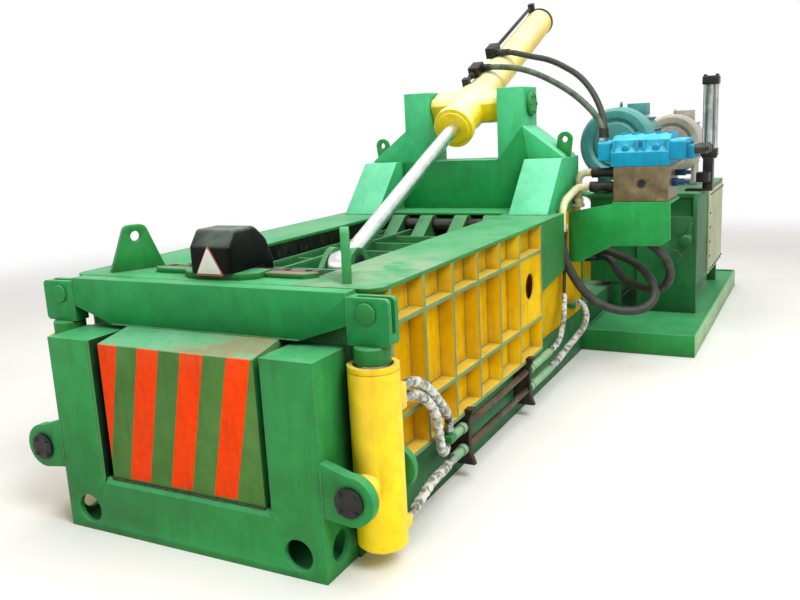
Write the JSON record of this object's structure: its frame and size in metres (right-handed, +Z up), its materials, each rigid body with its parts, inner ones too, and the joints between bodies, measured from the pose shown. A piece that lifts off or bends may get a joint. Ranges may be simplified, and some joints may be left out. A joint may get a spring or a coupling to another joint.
{
  "type": "recycling baler",
  "caption": "Hydraulic scrap-metal baler: an open-topped ribbed press box with a swing lid and its cylinder on a gantry, a sliding discharge gate with lift cylinders, a main ram and power unit.",
  "frame": {"origin": "on the ground under the middle of the discharge frame at the front of the machine", "axes": "+X to the right-hand side seen from the discharge gate, where the hydraulics are; +Y back from the gate to the main cylinder; +Z up"},
  "size_m": [2.4008, 5.922, 2.5383],
  "materials": {
    "green_paint": "worn satin paint",
    "dark_green_paint": "worn satin paint",
    "yellow_paint": "worn satin paint",
    "gate_paint": "worn satin paint in slanted stripes",
    "worn_steel": "bare and lightly rusted",
    "rod_chrome": "polished",
    "black_paint": "satin",
    "grey_paint": "satin",
    "teal_paint": "satin",
    "cream_paint": "satin",
    "blue_paint": "satin paint over a casting",
    "manifold_steel": "zinc plated and oily",
    "pipe_steel": "dull",
    "zinc_fittings": "plated",
    "brown_paint": "dull",
    "hose_rubber": "matt",
    "hose_wrap": "matt cloth wrap"
  },
  "bodies": {
    "machine": {"discharge_frame": "green_paint", "trunnion_ears": "green_paint", "trunnion_caps": "green_paint", "gate_cylinders": "yellow_paint", "gate_glands": "yellow_paint", "chamber_front": "green_paint", "flange_sides": "green_paint", "front_blade_bar": "green_paint", "front_shear_blade": "worn_steel", "lock_hood_pad": "green_paint", "lock_hood": "black_paint", "chamber_walls": "worn_steel", "side_panels": "yellow_paint", "doubler_plates": "green_paint", "base_rails": "dark_green_paint", "chamber_floor": "worn_steel", "rear_housing": "green_paint", "rear_head_plate": "green_paint", "lifting_lugs": "green_paint", "gantry_legs": "green_paint", "gantry_portal": "green_paint", "lid_bearing_caps": "green_paint", "lid_hinge_pin": "worn_steel", "main_cylinder": "yellow_paint", "main_cylinder_cap": "yellow_paint", "power_base": "dark_green_paint", "tank": "green_paint", "tank_cover": "cream_paint", "motor_large": "teal_paint", "motor_small": "grey_paint", "tie_rod_unit": "grey_paint", "valve_bracket": "green_paint", "manifold": "manifold_steel", "valve_bank": "blue_paint", "valve_solenoids": "black_paint", "pipe_rack": "brown_paint", "rack_pipes": "pipe_steel", "pipe_unions": "zinc_fittings", "pipe_fittings": "cream_paint", "hose_lid_tail": "hose_rubber", "hose_lid_head": "hose_rubber", "hose_loop_outer": "hose_rubber", "hose_loop_inner": "hose_rubber", "hose_thin": "hose_rubber", "hose_curled": "hose_wrap", "hose_gate_upper": "hose_wrap", "hose_gate_middle": "hose_wrap", "hose_gate_lower": "hose_wrap"},
    "gate": {"gate_panel": "gate_paint", "crossbeam": "green_paint", "fork_pins": "worn_steel", "gate_rods": "rod_chrome"},
    "lid": {"lid_panel": "green_paint", "lid_pin": "worn_steel"},
    "lid_cylinder": {"lid_barrel": "yellow_paint", "lid_gland": "yellow_paint", "lid_pipework": "zinc_fittings"},
    "lid_cylinder_rod": {"lid_rod": "rod_chrome"},
    "ram": {"press_head": "worn_steel", "main_rod": "rod_chrome"}
  },
  "joints": [
    {"name": "gate_lift", "type": "slide", "parent": "machine", "child": "gate", "axis": [0, 0, 1], "range_m": [0, 0.55]},
    {"name": "lid_hinge", "type": "hinge", "parent": "machine", "child": "lid", "pos_m": [0, 2.489, 0.98], "axis": [-1, 0, 0], "range_deg": [0, 60]},
    {"name": "lid_cylinder_tilt", "type": "hinge", "parent": "machine", "child": "lid_cylinder", "pos_m": [0, 2.979, 1.715], "axis": [-1, 0, 0], "range_deg": [0, 40.6], "deforming": ["hose_lid_tail", "hose_lid_head"]},
    {"name": "lid_rod_slide", "type": "slide", "parent": "lid_cylinder", "child": "lid_cylinder_rod", "axis": [0, 0.9171, 0.3987], "range_m": [0, 0.716]},
    {"name": "ram_stroke", "type": "slide", "parent": "machine", "child": "ram", "axis": [0, -1, 0], "range_m": [0, 2.16]}
  ],
  "couplings": [
    {"joint": "lid_cylinder_tilt", "follows": "lid_hinge", "ratio": 0.6746},
    {"joint": "lid_rod_slide", "follows": "lid_hinge", "m_per_rad": 0.6826}
  ]
}
